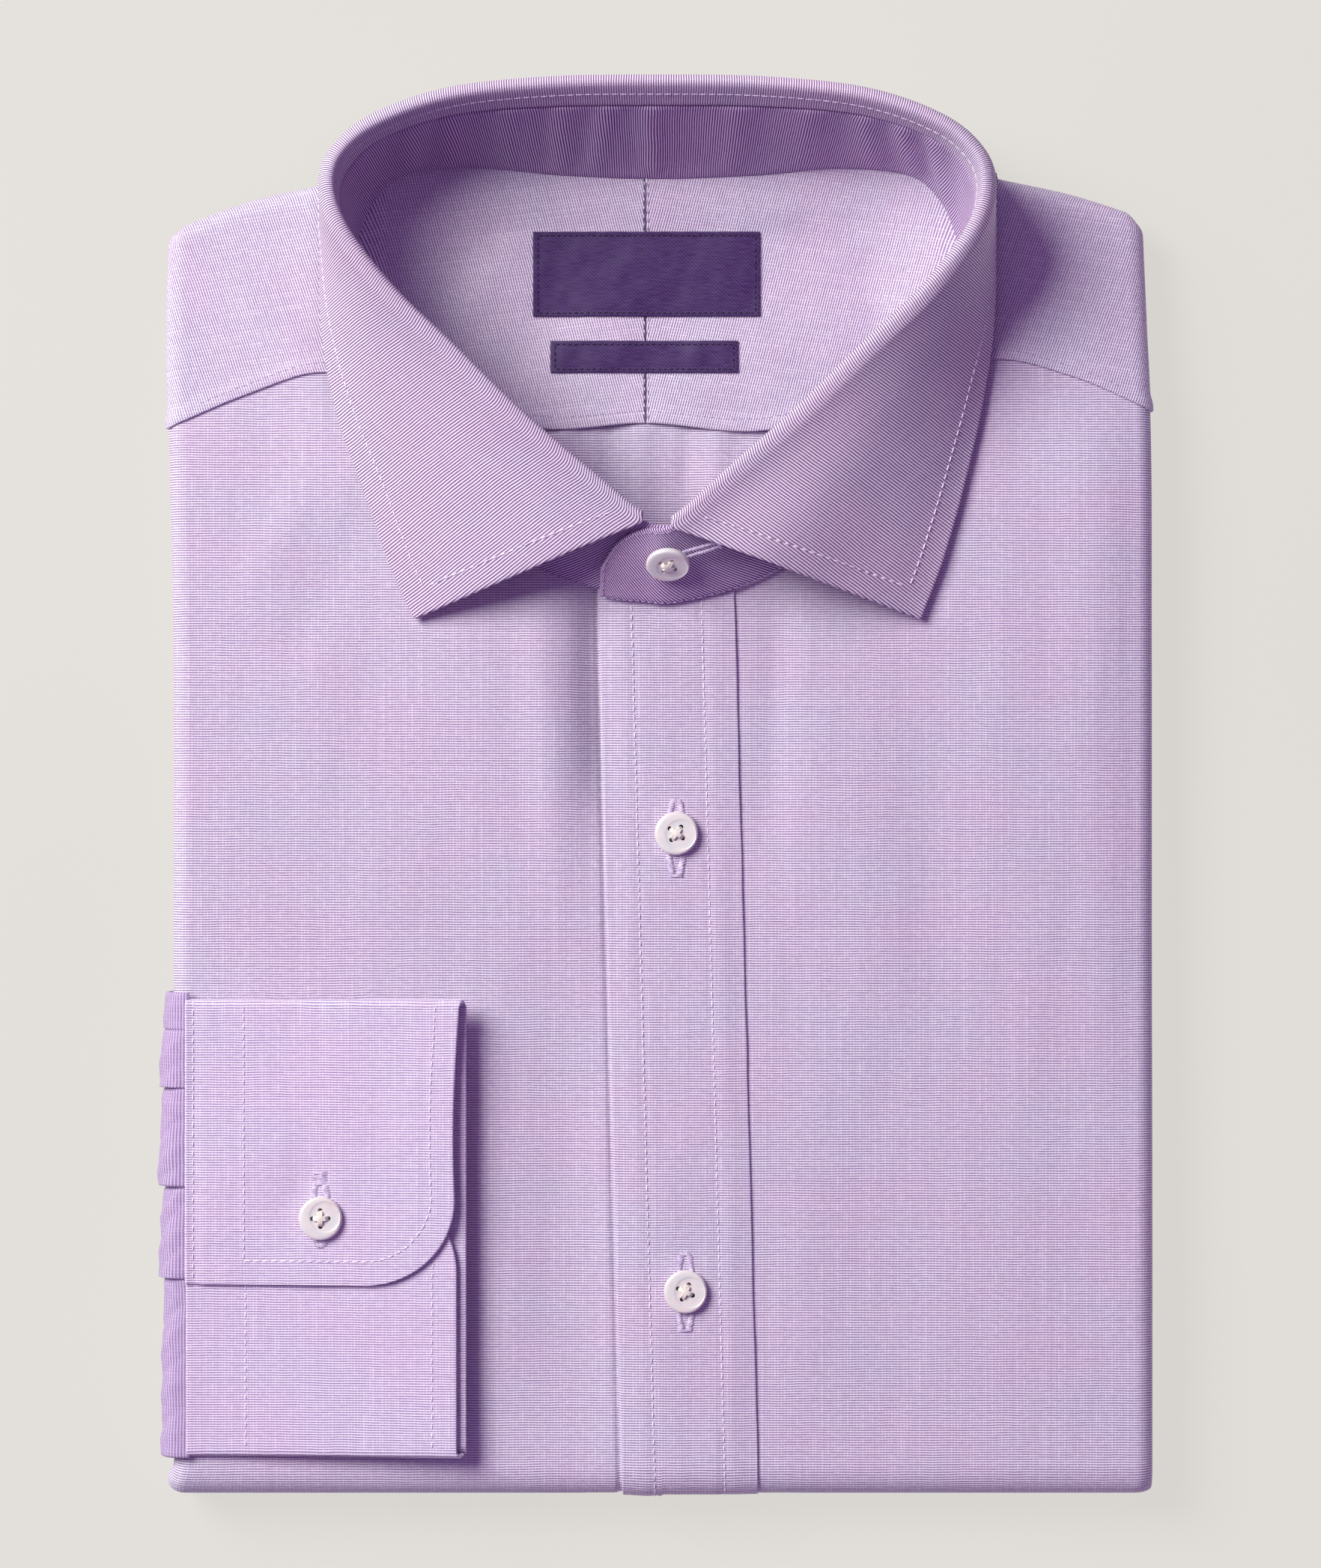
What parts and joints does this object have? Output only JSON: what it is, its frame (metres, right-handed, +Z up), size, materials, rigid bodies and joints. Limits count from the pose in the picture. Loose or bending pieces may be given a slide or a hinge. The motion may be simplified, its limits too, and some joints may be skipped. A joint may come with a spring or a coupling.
{
  "type": "folded dress shirt",
  "caption": "Long sleeve dress shirt folded for the shelf and lying on its back, with a spread collar, button placket, split yoke and a barrel cuff laid across the front.",
  "frame": {"origin": "under the middle of the part's box, on the surface that it lies on", "axes": "+Z up from the surface, through the folded layers; +Y along the placket from the folded tail towards the collar; +X to the right as the front is looked at from above"},
  "size_m": [0.2518, 0.359, 0.0505],
  "materials": {
    "shirt_cloth": "fine woven stripe, matt",
    "label": "satin woven, plain",
    "button": "polished, pearly"
  },
  "bodies": {
    "root": {"folded_layers": "shirt_cloth", "front_left": "shirt_cloth", "front_right": "shirt_cloth", "placket": "shirt_cloth", "yoke_left": "shirt_cloth", "yoke_right": "shirt_cloth", "back_panel": "shirt_cloth", "collar_stand": "shirt_cloth", "collar_leaf": "shirt_cloth", "cuff": "shirt_cloth", "sleeve_end": "shirt_cloth", "label_upper": "label", "label_lower": "label", "button_front_upper": "button", "button_front_lower": "button", "button_cuff": "button", "button_collar": "button"}
  },
  "joints": []
}
